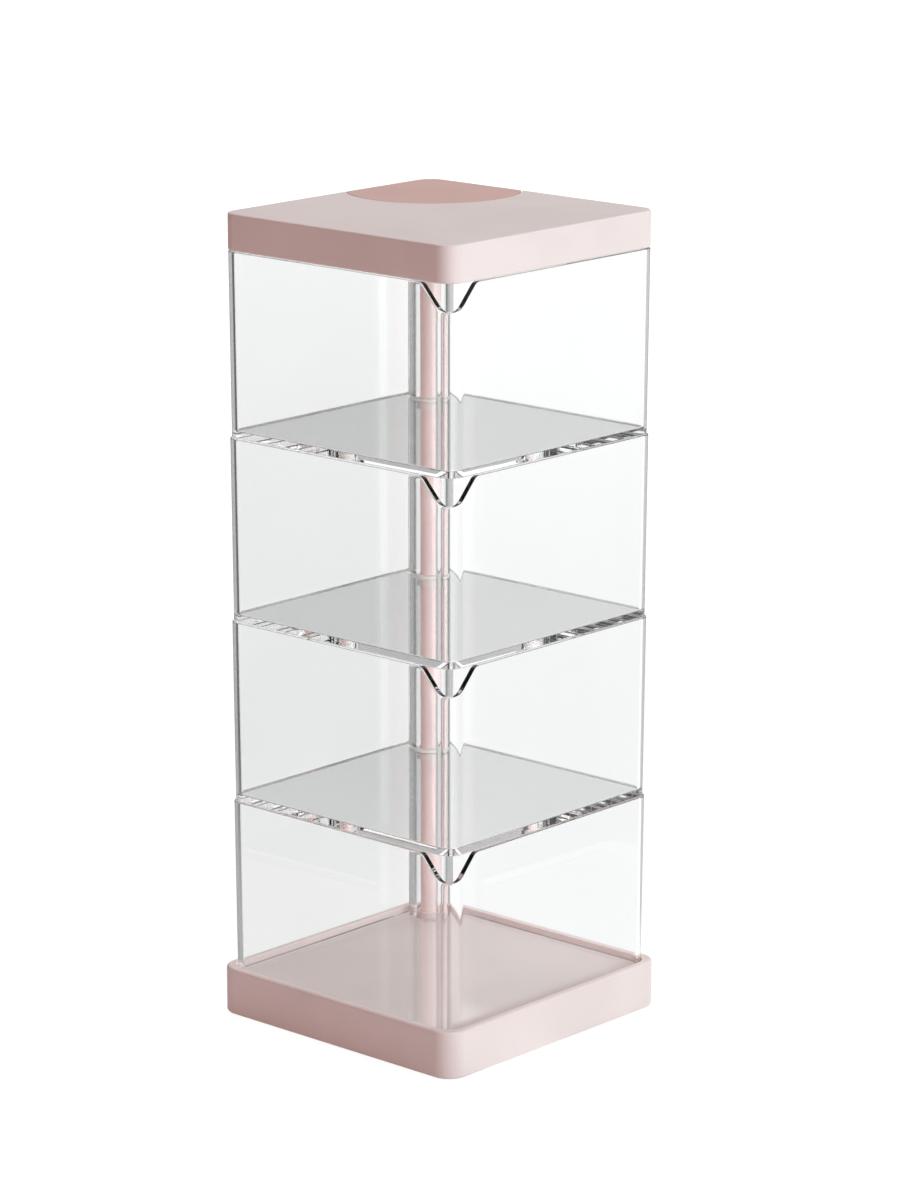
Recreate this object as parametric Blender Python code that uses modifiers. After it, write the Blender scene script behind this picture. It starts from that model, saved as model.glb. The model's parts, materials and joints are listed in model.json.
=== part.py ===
"""Tower of four clear trays that swing out about a post in its rear corner.

The tower stands on a pink base and is closed by a pink lid with a darker corner cap. Lengths are in
metres, +Z is up and the origin is on the ground under the middle of the base. The front corner, where
the trays have their finger notches, points to +X and -Y, and the post stands at the rear corner.
"""

import math

import bmesh
import bpy
from mathutils import Matrix, Vector

# Fits shared by all pieces
SEAT_GAP = 0.0003
RUNNING_GAP = 0.0004
OVERRUN = 0.002

# Post and tie bolt
POST_RADIUS = 0.00325
BOLT_RADIUS = 0.0015
BOLT_HEAD_RADIUS = 0.0028
BOLT_HEAD_HEIGHT = 0.0016
BOLT_END = 0.0008
NUT_ACROSS_FLATS = 0.0055
NUT_HEIGHT = 0.0024
NUT_SIDES = 6
WASHER_RADIUS = 0.0062
WASHER_THICKNESS = 0.0008
POST_CHAMFER = 0.0003

# Bushings that carry the trays and the lid
BUSHING_WALL = 0.0009
BUSHING_SPIGOT = 0.0030
BUSHING_NOSE = 0.0014
FLANGE_MARGIN = 0.0006

# Trays
TRAY_COUNT = 4
TRAY_HEIGHT = 0.0610
TRAY_GAP = 0.00035
TRAY_WALL = 0.0018
TRAY_FLOOR = 0.0020
TRAY_DRAFT = 0.0004
TRAY_CORNER = 0.0060
TRAY_FOOT_ROUND = 0.0009
TRAY_INNER_ROUND = 0.0014
SLEEVE_WALL = 0.0025
SLEEVE_BLEND = 0.00025
SLEEVE_DROP = 0.0012

# Finger notch in the rim of a tray
NOTCH_DEPTH = 0.0087
NOTCH_BOTTOM_RADIUS = 0.0042
NOTCH_LIP_RADIUS = 0.0020
NOTCH_FLANK_ANGLE = math.radians(49.4)

# Lid and corner cap
LID_SIDE = 0.1000
LID_OVERHANG = 0.0001
LID_HEIGHT = 0.0121
LID_CORNER = 0.0062
LID_WALL = 0.0022
LID_TOP = 0.0022
LID_EDGE_ROUND = 0.0006
LID_PLATE = 0.0018
LID_RIB = 0.0012
HUB_SEAT = 0.0045
HUB_WALL = 0.0016
WELL_MARGIN = 0.0005
CAP_THICKNESS = 0.0015
CAP_ARC_INSET = 0.0190
CAP_ARC_RADIUS = 0.0290
CAP_PEG_RADIUS = 0.0015
CAP_PEG_LENGTH = 0.0034
CAP_PEG_REACH = 0.0060

# Base
BASE_HEIGHT = 0.0160
BASE_RECESS = 0.0040
BASE_FLOOR = 0.0024
BASE_WALL = 0.0026
BASE_CORNER = 0.0072
BASE_EDGE_ROUND = 0.0012
BASE_RIB = 0.0014
BASE_COVER = 0.0020
BASE_COLLAR_HEIGHT = 0.0040
SOCKET_WALL = 0.0024
SOCKET_WEB = 0.0015
FOOT_RADIUS = 0.0050
FOOT_THICKNESS = 0.0011
FOOT_PROUD = 0.0006
FOOT_INSET = 0.0120
FOOT_CHAMFER = 0.0003

# Facets
CORNER_STEPS = 8
EDGE_STEPS = 3
ARC_STEPS = 6
LARGE_ROUND_STEPS = 40
SMALL_ROUND_STEPS = 24
CAP_ARC_STEPS = 96
WELD = 0.000001
SMOOTH_ANGLE = math.radians(35)

# Radii that follow from the fits round the post
TUBE_BORE = BOLT_RADIUS + SEAT_GAP
POST_HOLE = POST_RADIUS + SEAT_GAP
BUSHING_RADIUS = POST_HOLE + BUSHING_WALL
SLEEVE_BORE = BUSHING_RADIUS + RUNNING_GAP
SLEEVE_RADIUS = SLEEVE_BORE + SLEEVE_WALL
FLANGE_RADIUS = SLEEVE_RADIUS - FLANGE_MARGIN
FLANGE_THICKNESS = SLEEVE_DROP + TRAY_GAP - 2 * SEAT_GAP
SOCKET_RADIUS = POST_HOLE + SOCKET_WALL
WELL_RADIUS = WASHER_RADIUS + WELL_MARGIN
HUB_RADIUS = WELL_RADIUS + HUB_WALL

# Place of the post: each sleeve just runs into the two rear walls of its tray
PIVOT_INSET = LID_OVERHANG + TRAY_WALL + SLEEVE_RADIUS - SLEEVE_BLEND
PIVOT_REACH = LID_SIDE / 2 - PIVOT_INSET
PIVOT = Vector((-PIVOT_REACH, PIVOT_REACH, 0))

# Widths that follow from the fits round the trays
TRAY_UNDERSIDE = LID_SIDE - 2 * (LID_OVERHANG + TRAY_DRAFT)
RECESS_SIDE = TRAY_UNDERSIDE + 2 * RUNNING_GAP
BASE_SIDE = RECESS_SIDE + 2 * BASE_WALL

# Levels, from the ground up
BASE_TOP = FOOT_PROUD + BASE_HEIGHT
BASE_DECK = BASE_TOP - BASE_RECESS
BASE_ROOM_TOP = BASE_DECK - BASE_FLOOR
COVER_TOP = FOOT_PROUD + BASE_COVER
RIB_FOOT = COVER_TOP + SEAT_GAP
HEAD_TOP = RIB_FOOT + BOLT_HEAD_HEIGHT
SOCKET_SEAT = HEAD_TOP + SEAT_GAP + SOCKET_WEB
STACK_FOOT = BASE_DECK + SEAT_GAP
TRAY_PITCH = TRAY_HEIGHT + TRAY_GAP
LID_FOOT = STACK_FOOT + TRAY_COUNT * TRAY_PITCH
PLATE_TOP = LID_FOOT + LID_PLATE
POST_TOP = LID_FOOT + HUB_SEAT
WASHER_FOOT = POST_TOP + SEAT_GAP
NUT_FOOT = WASHER_FOOT + WASHER_THICKNESS + SEAT_GAP
BOLT_TIP = NUT_FOOT + NUT_HEIGHT + BOLT_END
LID_HEAD = LID_FOOT + LID_HEIGHT
LID_ROOM_TOP = LID_HEAD - LID_TOP
CAP_UNDERSIDE = LID_HEAD - CAP_THICKNESS
CAP_SEAT = CAP_UNDERSIDE - SEAT_GAP
CAP_FLOOR_UNDERSIDE = CAP_SEAT - LID_TOP

# Lines, as shares of the post's distance from the middle, along which ribs run under base and lid
RIB_SHARES = (-1, 0, 1)

# Corners of the square plan, as shares of a half side along X and Y
CORNER_SHARES = {"front": (1, -1), "left": (-1, -1), "rear": (-1, 1), "right": (1, 1)}

# Colours
PINK = (0.82, 0.68, 0.66)
DUSTY_PINK = (0.71, 0.48, 0.45)
POST_PINK = (0.78, 0.53, 0.51)
CLEAR = (0.97, 0.98, 0.98)
NATURAL_NYLON = (0.88, 0.88, 0.86)
GREY_RUBBER = (0.55, 0.55, 0.55)
ZINC = (0.60, 0.60, 0.60)


def clear_scene():
    """Remove what the scene holds."""
    for item in list(bpy.data.objects):
        bpy.data.objects.remove(item)


def new_collection(name):
    """Make a collection in the scene."""
    collection = bpy.data.collections.new(name)
    bpy.context.scene.collection.children.link(collection)
    return collection


def new_material(name, colour, roughness, metallic=0.0, clear=False):
    """Make a Principled material."""
    material = bpy.data.materials.new(name)
    material.use_nodes = True
    shader = material.node_tree.nodes["Principled BSDF"]
    shader.inputs["Base Color"].default_value = (*colour, 1)
    shader.inputs["Roughness"].default_value = roughness
    shader.inputs["Metallic"].default_value = metallic
    shader.inputs["Transmission Weight"].default_value = 1 if clear else 0
    return material


def new_object(name, bm, collection, material=None):
    """Turn a bmesh into an object, shaded smooth by angle."""
    mesh = bpy.data.meshes.new(name)
    bm.to_mesh(mesh)
    bm.free()
    mesh.shade_smooth()
    mesh.set_sharp_from_angle(angle=SMOOTH_ANGLE)
    if material:
        mesh.materials.append(material)
    item = bpy.data.objects.new(name, mesh)
    collection.objects.link(item)
    return item


def block(bm, low_side, high_side, foot, head, corner, edge_rounds=()):
    """Square block between two levels, with its own width at each, round corners and round edges.

    edge_rounds pairs a level, foot or head, with the radius of the edges there.
    """
    made = bmesh.ops.create_cube(bm, size=1)
    for vertex in made["verts"]:
        upper = vertex.co.z > 0
        side = high_side if upper else low_side
        vertex.co.x *= side
        vertex.co.y *= side
        vertex.co.z = head if upper else foot
    uprights = [edge for edge in bm.edges if edge.verts[0].co.z != edge.verts[1].co.z]
    bmesh.ops.bevel(
        bm, geom=uprights, offset=corner, segments=CORNER_STEPS, profile=0.5, affect="EDGES"
    )
    for level, radius in edge_rounds:
        ring = [edge for edge in bm.edges if all(abs(v.co.z - level) < WELD for v in edge.verts)]
        bmesh.ops.bevel(
            bm, geom=ring, offset=radius, segments=EDGE_STEPS, profile=0.5, affect="EDGES"
        )
    return bm


def square_block(name, collection, side, foot, head, corner, material=None, edge_rounds=()):
    """Block with upright sides, centred on the origin's vertical."""
    bm = block(bmesh.new(), side, side, foot, head, corner, edge_rounds)
    return new_object(name, bm, collection, material)


def bar(name, collection, size, centre):
    """Plain box of a given size round a given centre."""
    bm = bmesh.new()
    scale = Matrix.Diagonal((*size, 1))
    bmesh.ops.create_cube(bm, size=1, matrix=Matrix.Translation(centre) @ scale)
    return new_object(name, bm, collection)


def cylinder(name, collection, radius, foot, head, steps=LARGE_ROUND_STEPS, material=None):
    """Upright cylinder on the origin's vertical, between two levels."""
    bm = bmesh.new()
    bmesh.ops.create_cone(
        bm,
        cap_ends=True,
        segments=steps,
        radius1=radius,
        radius2=radius,
        depth=head - foot,
        matrix=Matrix.Translation((0, 0, (foot + head) / 2)),
    )
    return new_object(name, bm, collection, material)


def turned(name, collection, profile, steps, material, closed=False):
    """Solid turned about the origin's vertical from (radius, level) points, top to bottom outside."""
    mesh = bpy.data.meshes.new(name)
    points = [(radius, 0, level) for radius, level in profile]
    edges = [(index, index + 1) for index in range(len(points) - 1)]
    if closed:
        edges.append((len(points) - 1, 0))
    mesh.from_pydata(points, edges, [])
    mesh.materials.append(material)
    item = bpy.data.objects.new(name, mesh)
    collection.objects.link(item)
    screw = item.modifiers.new("Turn", "SCREW")
    screw.steps = steps
    screw.render_steps = steps
    screw.use_merge_vertices = True
    screw.merge_threshold = WELD
    screw.use_smooth_shade = False
    return item


def prism(name, collection, outline, half_depth):
    """Outline of (x, y) points filled and extruded both ways along Z, as a closed mesh."""
    curve = bpy.data.curves.new(name, "CURVE")
    curve.dimensions = "2D"
    curve.fill_mode = "BOTH"
    curve.extrude = half_depth
    spline = curve.splines.new("POLY")
    spline.points.add(len(outline) - 1)
    for point, (x, y) in zip(spline.points, outline):
        point.co = (x, y, 0, 1)
    spline.use_cyclic_u = True
    guide = bpy.data.objects.new(name, curve)
    collection.objects.link(guide)
    graph = bpy.context.evaluated_depsgraph_get()
    mesh = bpy.data.meshes.new_from_object(guide.evaluated_get(graph))
    bpy.data.objects.remove(guide)
    bm = bmesh.new()
    bm.from_mesh(mesh)
    bmesh.ops.remove_doubles(bm, verts=bm.verts, dist=WELD)
    return new_object(name, bm, collection)


def arc(centre, radius, start, end, steps=ARC_STEPS):
    """Points of a circular arc in a plane, from one angle to another."""
    angles = [start + (end - start) * step / steps for step in range(steps + 1)]
    return [(centre[0] + radius * math.cos(a), centre[1] + radius * math.sin(a)) for a in angles]


def combine(item, tool, operation="DIFFERENCE"):
    """Cut an object with a tool, or join or intersect it with one."""
    modifier = item.modifiers.new(tool.name, "BOOLEAN")
    modifier.operation = operation
    modifier.object = tool
    modifier.solver = "EXACT"
    tool.hide_render = True
    tool.display_type = "WIRE"


def baked(item):
    """Evaluate an object's modifiers into a mesh, shaded smooth by angle."""
    graph = bpy.context.evaluated_depsgraph_get()
    mesh = bpy.data.meshes.new_from_object(item.evaluated_get(graph))
    mesh.shade_smooth()
    mesh.set_sharp_from_angle(angle=SMOOTH_ANGLE)
    return mesh


def pivot_empty(name, collection, level):
    """Empty on the post's axis that carries a piece which swings about it."""
    empty = bpy.data.objects.new(name, None)
    empty.location = PIVOT + Vector((0, 0, level))
    empty.empty_display_size = PIVOT_INSET
    collection.objects.link(empty)
    return empty


def carry(pivot, item):
    """Parent a piece to an empty on the post's axis, without moving the piece."""
    item.parent = pivot
    item.location -= pivot.location


def tray_side(level):
    """Outer width of a tray at a level above its underside."""
    return TRAY_UNDERSIDE + 2 * TRAY_DRAFT * level / TRAY_HEIGHT


def notch_outline():
    """Outline of the finger notch: x across the corner and y up from the rim, open above it."""
    angle = NOTCH_FLANK_ANGLE
    bottom = NOTCH_BOTTOM_RADIUS - NOTCH_DEPTH
    tangent_x = NOTCH_BOTTOM_RADIUS * math.sin(angle)
    tangent_y = bottom - NOTCH_BOTTOM_RADIUS * math.cos(angle)
    lip_fall = NOTCH_LIP_RADIUS * (1 - math.cos(angle))
    lip_x = tangent_x + (-lip_fall - tangent_y) / math.tan(angle) + NOTCH_LIP_RADIUS * math.sin(angle)
    upright = math.pi / 2
    left_lip = arc((-lip_x, -NOTCH_LIP_RADIUS), NOTCH_LIP_RADIUS, upright, upright - angle)
    floor = arc((0, bottom), NOTCH_BOTTOM_RADIUS, -upright - angle, -upright + angle)
    right_lip = arc((lip_x, -NOTCH_LIP_RADIUS), NOTCH_LIP_RADIUS, upright + angle, upright)
    return [(-lip_x, OVERRUN), *left_lip, *floor, *right_lip, (lip_x, OVERRUN)]


def tray_mesh(cutters, material):
    """Mesh of one tray, centred on the tower's axis with its underside at the origin's level."""
    body = new_object(
        "tray_block",
        block(
            bmesh.new(), tray_side(0), tray_side(TRAY_HEIGHT), 0, TRAY_HEIGHT, TRAY_CORNER,
            [(0, TRAY_FOOT_ROUND)],
        ),
        cutters,
        material,
    )
    head = TRAY_HEIGHT + OVERRUN
    room = new_object(
        "tray_room",
        block(
            bmesh.new(), tray_side(TRAY_FLOOR) - 2 * TRAY_WALL, tray_side(head) - 2 * TRAY_WALL,
            TRAY_FLOOR, head, TRAY_CORNER - TRAY_WALL, [(TRAY_FLOOR, TRAY_INNER_ROUND)],
        ),
        cutters,
    )
    sleeve_top = TRAY_HEIGHT - SLEEVE_DROP
    sleeve = cylinder("sleeve", cutters, SLEEVE_RADIUS, TRAY_FLOOR - OVERRUN, sleeve_top)
    sleeve.location = PIVOT
    reach = PIVOT_INSET + OVERRUN
    height = sleeve_top - TRAY_FLOOR + OVERRUN
    corner_fill = bar(
        "sleeve_corner", cutters, (reach, reach, height),
        PIVOT + Vector((-reach / 2, reach / 2, sleeve_top - height / 2)),
    )
    combine(room, sleeve)
    combine(room, corner_fill)
    bore = cylinder("sleeve_bore", cutters, SLEEVE_BORE, -OVERRUN, head)
    bore.location = PIVOT
    outline = notch_outline()
    half_width = max(x for x, y in outline)
    notch = prism("finger_notch", cutters, outline, half_width + 2 * TRAY_WALL + OVERRUN)
    notch.matrix_world = (
        Matrix.Translation((tray_side(TRAY_HEIGHT) / 2, -tray_side(TRAY_HEIGHT) / 2, TRAY_HEIGHT))
        @ Matrix.Rotation(math.radians(45), 4, "Z")
        @ Matrix.Rotation(math.radians(90), 4, "X")
    )
    for tool in (room, bore, notch):
        combine(body, tool)
    mesh = baked(body)
    bpy.data.objects.remove(body)
    return mesh


def add_trays(parts, cutters, material):
    """The four trays: the lowest is held in the base, the others hang on empties on the post."""
    mesh = tray_mesh(cutters, material)
    for index in range(TRAY_COUNT):
        name = f"tray_{index + 1}"
        level = STACK_FOOT + index * TRAY_PITCH
        tray = bpy.data.objects.new(name, mesh)
        tray.location.z = level
        parts.objects.link(tray)
        if index > 0:
            carry(pivot_empty(f"{name}_pivot", parts, level), tray)


def add_bushings(parts, material):
    """Flanged rings on the post, each seated on a sleeve and reaching into what it carries."""
    for index in range(TRAY_COUNT):
        seat = STACK_FOOT + index * TRAY_PITCH + TRAY_HEIGHT - SLEEVE_DROP + SEAT_GAP
        flange_top = seat + FLANGE_THICKNESS
        profile = [
            (POST_HOLE, flange_top + BUSHING_NOSE),
            (BUSHING_RADIUS, flange_top + BUSHING_NOSE),
            (BUSHING_RADIUS, flange_top),
            (FLANGE_RADIUS, flange_top),
            (FLANGE_RADIUS, seat),
            (BUSHING_RADIUS, seat),
            (BUSHING_RADIUS, seat - BUSHING_SPIGOT),
            (POST_HOLE, seat - BUSHING_SPIGOT),
        ]
        name = f"bushing_{index + 1}"
        bushing = turned(name, parts, profile, SMALL_ROUND_STEPS, material, closed=True)
        bushing.location = PIVOT


def add_post(parts, cutters, pink, steel):
    """Tube that stands in the base's socket, and the bolt, washer and nut that hold it."""
    foot = SOCKET_SEAT + SEAT_GAP
    tube_profile = [
        (TUBE_BORE, POST_TOP),
        (POST_RADIUS - POST_CHAMFER, POST_TOP),
        (POST_RADIUS, POST_TOP - POST_CHAMFER),
        (POST_RADIUS, foot),
        (TUBE_BORE, foot),
    ]
    tube = turned("post_tube", parts, tube_profile, SMALL_ROUND_STEPS, pink, closed=True)
    bolt_profile = [
        (0, BOLT_TIP),
        (BOLT_RADIUS, BOLT_TIP),
        (BOLT_RADIUS, HEAD_TOP),
        (BOLT_HEAD_RADIUS, HEAD_TOP),
        (BOLT_HEAD_RADIUS, RIB_FOOT),
        (0, RIB_FOOT),
    ]
    bolt = turned("tie_bolt", parts, bolt_profile, SMALL_ROUND_STEPS, steel)
    washer_profile = [
        (TUBE_BORE, WASHER_FOOT + WASHER_THICKNESS),
        (WASHER_RADIUS, WASHER_FOOT + WASHER_THICKNESS),
        (WASHER_RADIUS, WASHER_FOOT),
        (TUBE_BORE, WASHER_FOOT),
    ]
    washer = turned("top_washer", parts, washer_profile, SMALL_ROUND_STEPS, steel, closed=True)
    nut_radius = NUT_ACROSS_FLATS / 2 / math.cos(math.pi / NUT_SIDES)
    nut_top = NUT_FOOT + NUT_HEIGHT
    nut = cylinder("top_nut", parts, nut_radius, NUT_FOOT, nut_top, NUT_SIDES, steel)
    nut_bore = cylinder(
        "nut_bore", cutters, TUBE_BORE, NUT_FOOT - OVERRUN, nut_top + OVERRUN, SMALL_ROUND_STEPS
    )
    nut_bore.location = PIVOT
    combine(nut, nut_bore)
    for item in (tube, bolt, washer, nut):
        item.location = PIVOT


def keep_ribs(room, cutters, label, thickness, foot, head):
    """Leave ribs standing in a hollow, along the lines through the post and the middle."""
    for axis in (0, 1):
        for number, share in enumerate(RIB_SHARES, 1):
            size = Vector((BASE_SIDE, BASE_SIDE, head + OVERRUN - foot))
            size[axis] = thickness
            centre = Vector((0, 0, (head + OVERRUN + foot) / 2))
            centre[axis] = share * PIVOT_REACH
            rib = bar(f"{label}_rib_{'xy'[axis]}{number}", cutters, size, centre)
            combine(room, rib)


def add_base(parts, cutters, pink, rubber):
    """Base shell with the recess for the lowest tray and the socket for the post."""
    shell = square_block(
        "base_shell", parts, BASE_SIDE, FOOT_PROUD, BASE_TOP, BASE_CORNER, pink,
        [(BASE_TOP, BASE_EDGE_ROUND), (FOOT_PROUD, BASE_EDGE_ROUND)],
    )
    recess = square_block(
        "base_recess", cutters, RECESS_SIDE, BASE_DECK, BASE_TOP + OVERRUN,
        TRAY_CORNER + RUNNING_GAP,
    )
    room_side = BASE_SIDE - 2 * BASE_WALL
    room_corner = BASE_CORNER - BASE_WALL
    room = square_block(
        "base_room", cutters, room_side, FOOT_PROUD - OVERRUN, BASE_ROOM_TOP, room_corner,
    )
    keep_ribs(room, cutters, "base", BASE_RIB, RIB_FOOT, BASE_ROOM_TOP)
    socket = cylinder("post_socket", cutters, SOCKET_RADIUS, RIB_FOOT, BASE_DECK)
    socket.location = PIVOT
    combine(room, socket)
    combine(shell, recess)
    combine(shell, room)
    collar = cylinder(
        "base_collar", cutters, BUSHING_RADIUS, BASE_DECK - BASE_FLOOR / 2,
        BASE_DECK + BASE_COLLAR_HEIGHT, SMALL_ROUND_STEPS,
    )
    collar.location = PIVOT
    combine(shell, collar, "UNION")
    holes = (
        ("post_hole", POST_HOLE, SOCKET_SEAT, BASE_TOP + OVERRUN),
        ("bolt_hole", TUBE_BORE, HEAD_TOP, SOCKET_SEAT + OVERRUN),
        ("bolt_head_hole", BOLT_HEAD_RADIUS + SEAT_GAP, RIB_FOOT - OVERRUN, HEAD_TOP + SEAT_GAP),
    )
    for name, radius, foot, head in holes:
        hole = cylinder(name, cutters, radius, foot, head, SMALL_ROUND_STEPS)
        hole.location = PIVOT
        combine(shell, hole)
    cover = square_block(
        "base_bottom_cover", parts, room_side - 2 * SEAT_GAP, FOOT_PROUD, COVER_TOP,
        room_corner - SEAT_GAP, pink,
    )
    add_feet(parts, cutters, cover, rubber)


def add_feet(parts, cutters, cover, rubber):
    """Four rubber feet, each glued into a shallow seat in the bottom cover."""
    reach = BASE_SIDE / 2 - FOOT_INSET
    for corner, (x_share, y_share) in CORNER_SHARES.items():
        place = Vector((x_share * reach, y_share * reach, 0))
        profile = [
            (0, FOOT_THICKNESS),
            (FOOT_RADIUS, FOOT_THICKNESS),
            (FOOT_RADIUS, FOOT_CHAMFER),
            (FOOT_RADIUS - FOOT_CHAMFER, 0),
            (0, 0),
        ]
        foot = turned(f"rubber_foot_{corner}", parts, profile, SMALL_ROUND_STEPS, rubber)
        foot.location = place
        seat = cylinder(
            f"foot_seat_{corner}", cutters, FOOT_RADIUS + SEAT_GAP, -OVERRUN,
            FOOT_THICKNESS + SEAT_GAP, SMALL_ROUND_STEPS,
        )
        seat.location = place
        combine(cover, seat)


def lid_block(name, collection, material):
    """The lid's outer form."""
    rounds = [(LID_HEAD, LID_EDGE_ROUND), (LID_FOOT, LID_EDGE_ROUND)]
    return square_block(
        name, collection, LID_SIDE, LID_FOOT, LID_HEAD, LID_CORNER, material, rounds
    )


def cap_disc(name, collection, growth, foot):
    """Upright disc whose curved edge is the front edge of the corner cap."""
    disc = cylinder(
        name, collection, CAP_ARC_RADIUS + growth, foot, LID_HEAD + OVERRUN, CAP_ARC_STEPS
    )
    reach = LID_SIDE / 2 - CAP_ARC_INSET
    disc.location = (-reach, reach, 0)
    return disc


def cap_pegs(label, collection, radius, foot, head):
    """Two upright pegs either side of the post, on a line square to the tower's diagonal."""
    reach = LID_SIDE / 2 - CAP_ARC_INSET
    pegs = []
    for number, side in enumerate((-1, 1), 1):
        peg = cylinder(f"{label}_{number}", collection, radius, foot, head, SMALL_ROUND_STEPS)
        peg.location = (-reach + side * CAP_PEG_REACH, reach + side * CAP_PEG_REACH, 0)
        pegs.append(peg)
    return pegs


def add_lid(parts, cutters, pink, dusty_pink):
    """Lid shell with its hub on the post, the plate that closes it and the flush corner cap."""
    pivot = pivot_empty("lid_pivot", parts, LID_FOOT)
    shell = lid_block("lid_shell", parts, pink)
    room_side = LID_SIDE - 2 * LID_WALL
    room_corner = LID_CORNER - LID_WALL
    room = square_block(
        "lid_room", cutters, room_side, LID_FOOT - OVERRUN, LID_ROOM_TOP, room_corner
    )
    keep_ribs(room, cutters, "lid", LID_RIB, PLATE_TOP + SEAT_GAP, LID_ROOM_TOP)
    hub = cylinder("lid_hub", cutters, HUB_RADIUS, LID_FOOT - 2 * OVERRUN, LID_HEAD)
    hub.location = PIVOT
    combine(room, hub)
    combine(room, cap_disc("cap_floor", cutters, LID_TOP, CAP_FLOOR_UNDERSIDE))
    combine(shell, room)
    combine(shell, cap_disc("cap_recess", cutters, SEAT_GAP, CAP_SEAT))
    holes = (
        ("lid_well", WELL_RADIUS, POST_TOP, LID_HEAD),
        ("lid_post_hole", POST_HOLE, LID_FOOT, POST_TOP + OVERRUN),
        ("lid_bushing_hole", SLEEVE_BORE, LID_FOOT - OVERRUN, LID_FOOT + BUSHING_NOSE),
    )
    for name, radius, foot, head in holes:
        hole = cylinder(name, cutters, radius, foot, head, SMALL_ROUND_STEPS)
        hole.location = PIVOT
        combine(shell, hole)
    hole_foot = CAP_FLOOR_UNDERSIDE - OVERRUN
    for hole in cap_pegs("peg_hole", cutters, CAP_PEG_RADIUS + SEAT_GAP, hole_foot, LID_HEAD):
        combine(shell, hole)
    plate = square_block(
        "lid_bottom_plate", parts, room_side - 2 * SEAT_GAP, LID_FOOT, PLATE_TOP,
        room_corner - SEAT_GAP, pink,
    )
    plate_hole = cylinder(
        "plate_hole", cutters, HUB_RADIUS + SEAT_GAP, LID_FOOT - OVERRUN, PLATE_TOP + OVERRUN
    )
    plate_hole.location = PIVOT
    combine(plate, plate_hole)
    cap = lid_block("corner_cap", parts, dusty_pink)
    combine(cap, cap_disc("cap_outline", cutters, 0, CAP_UNDERSIDE), "INTERSECT")
    peg_head = LID_HEAD - CAP_THICKNESS / 2
    for peg in cap_pegs("peg", cutters, CAP_PEG_RADIUS, CAP_SEAT - CAP_PEG_LENGTH, peg_head):
        combine(cap, peg, "UNION")
    for item in (shell, plate, cap):
        carry(pivot, item)


def build():
    """Model the whole tower."""
    clear_scene()
    parts = new_collection("swivel_tray_organizer")
    cutters = new_collection("cutters")
    pink = new_material("pale_pink_plastic", PINK, 0.35)
    dusty_pink = new_material("dusty_pink_plastic", DUSTY_PINK, 0.35)
    post_pink = new_material("pink_post", POST_PINK, 0.3)
    clear = new_material("clear_plastic", CLEAR, 0.03, clear=True)
    nylon = new_material("nylon", NATURAL_NYLON, 0.4)
    rubber = new_material("rubber", GREY_RUBBER, 0.8)
    steel = new_material("steel", ZINC, 0.3, metallic=1.0)
    add_base(parts, cutters, pink, rubber)
    add_post(parts, cutters, post_pink, steel)
    add_trays(parts, cutters, clear)
    add_bushings(parts, nylon)
    add_lid(parts, cutters, pink, dusty_pink)


build()
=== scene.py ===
"""Swivel-tray tower: smooth moulded pieces, clear trays, finishes, stage and camera.

The frame holds the tower's own solids in metres, +Z up, with the finger notches at the front
corner (+X, -Y) and the post at the rear corner (-X, +Y). Each piece here takes its place from its
solid.
"""

import json
import math

import bpy
import numpy as np
from bpy.props import FloatProperty, FloatVectorProperty, PointerProperty
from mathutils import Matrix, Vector


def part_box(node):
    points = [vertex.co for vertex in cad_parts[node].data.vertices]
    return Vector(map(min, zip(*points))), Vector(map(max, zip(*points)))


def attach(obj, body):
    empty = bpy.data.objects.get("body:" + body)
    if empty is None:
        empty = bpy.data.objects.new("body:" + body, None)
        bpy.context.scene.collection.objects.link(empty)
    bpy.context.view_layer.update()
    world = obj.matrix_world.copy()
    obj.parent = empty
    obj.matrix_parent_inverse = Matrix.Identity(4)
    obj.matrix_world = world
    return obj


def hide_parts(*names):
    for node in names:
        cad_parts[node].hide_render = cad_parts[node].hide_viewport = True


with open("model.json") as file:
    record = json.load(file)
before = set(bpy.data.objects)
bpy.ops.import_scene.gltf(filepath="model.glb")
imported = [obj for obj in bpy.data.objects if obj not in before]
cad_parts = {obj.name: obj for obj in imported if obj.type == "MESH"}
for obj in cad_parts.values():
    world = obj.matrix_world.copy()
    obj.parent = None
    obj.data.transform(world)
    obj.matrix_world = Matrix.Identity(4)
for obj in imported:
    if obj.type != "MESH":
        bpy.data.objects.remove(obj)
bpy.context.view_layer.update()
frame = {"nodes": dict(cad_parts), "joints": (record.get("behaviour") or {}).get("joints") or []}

bl_info = {
    "name": "Swivel Tray Tower",
    "version": (1, 0, 0),
    "blender": (4, 5, 0),
    "location": "View3D > Sidebar > Tray Tower",
    "description": "Models a tower of clear trays that swing about a corner post, and its stage",
    "category": "Add Mesh",
}

TRAY_NODES = ("tray_1", "tray_2", "tray_3", "tray_4")
TRAY_BODIES = ("base", "second_tray", "third_tray", "top_tray")
BUSHING_NODES = ("bushing_1", "bushing_2", "bushing_3", "bushing_4")
FOOT_NODES = ("rubber_foot_front", "rubber_foot_left", "rubber_foot_rear", "rubber_foot_right")
STEEL_NODES = ("tie_bolt", "top_washer", "top_nut")
# Where the one upright axis of the post and of every hinge stands
PIVOT = np.array(frame["joints"][0]["pos_m"][:2])

# Steps or points: round a corner, along a side beside the notch, up the wall under the notch,
# round an edge, round a bushing's edge, round a circle and along the corner cap's arc
CORNER_STEPS = 20
NOTCH_SIDE_STEPS = 22
NOTCH_LEVELS = 5
EDGE_STEPS = 5
BUSHING_EDGE_STEPS = 3
ROUND_STEPS = 72
CAP_ARC_STEPS = 90
# Edges that turn by more than this stay sharp
SMOOTH_ANGLE = math.radians(34)

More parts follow.
